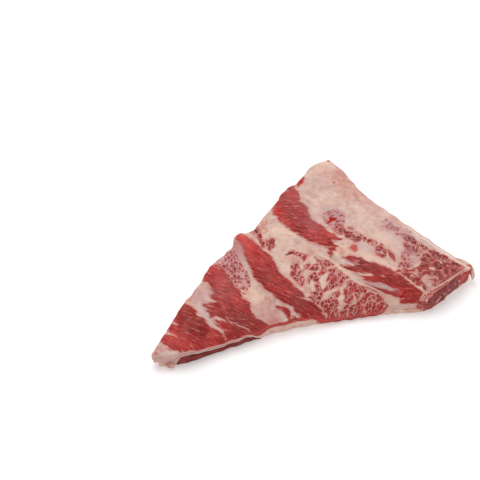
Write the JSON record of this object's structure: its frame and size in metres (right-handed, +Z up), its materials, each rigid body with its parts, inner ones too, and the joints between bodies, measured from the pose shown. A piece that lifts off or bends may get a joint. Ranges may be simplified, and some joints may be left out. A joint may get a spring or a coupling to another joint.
{
  "type": "raw beef short ribs",
  "caption": "Raw boneless beef short rib cut: a flat triangular slab of marbled meat, rib side up, on a seam of white fat, for a kitchen, a butcher's counter or a grill.",
  "frame": {"origin": "middle of the outline's bounding box, on the surface that the cut lies on", "axes": "+X along the long front cut towards the thick end, +Y away from that cut to the back corner, +Z up out of the rib side"},
  "size_m": [0.3081, 0.2564, 0.0303],
  "materials": {
    "rib_side_meat": "damp raw beef, red muscle bands with cream fat and fine marbling between them",
    "fat": "damp cream fat with pinkish grey membrane",
    "outer_muscle": "damp dark red lean meat with pale fibres"
  },
  "bodies": {
    "root": {"rib_side_meat": "rib_side_meat", "fat_seam": "fat", "outer_muscle_strip": "outer_muscle"}
  },
  "joints": []
}
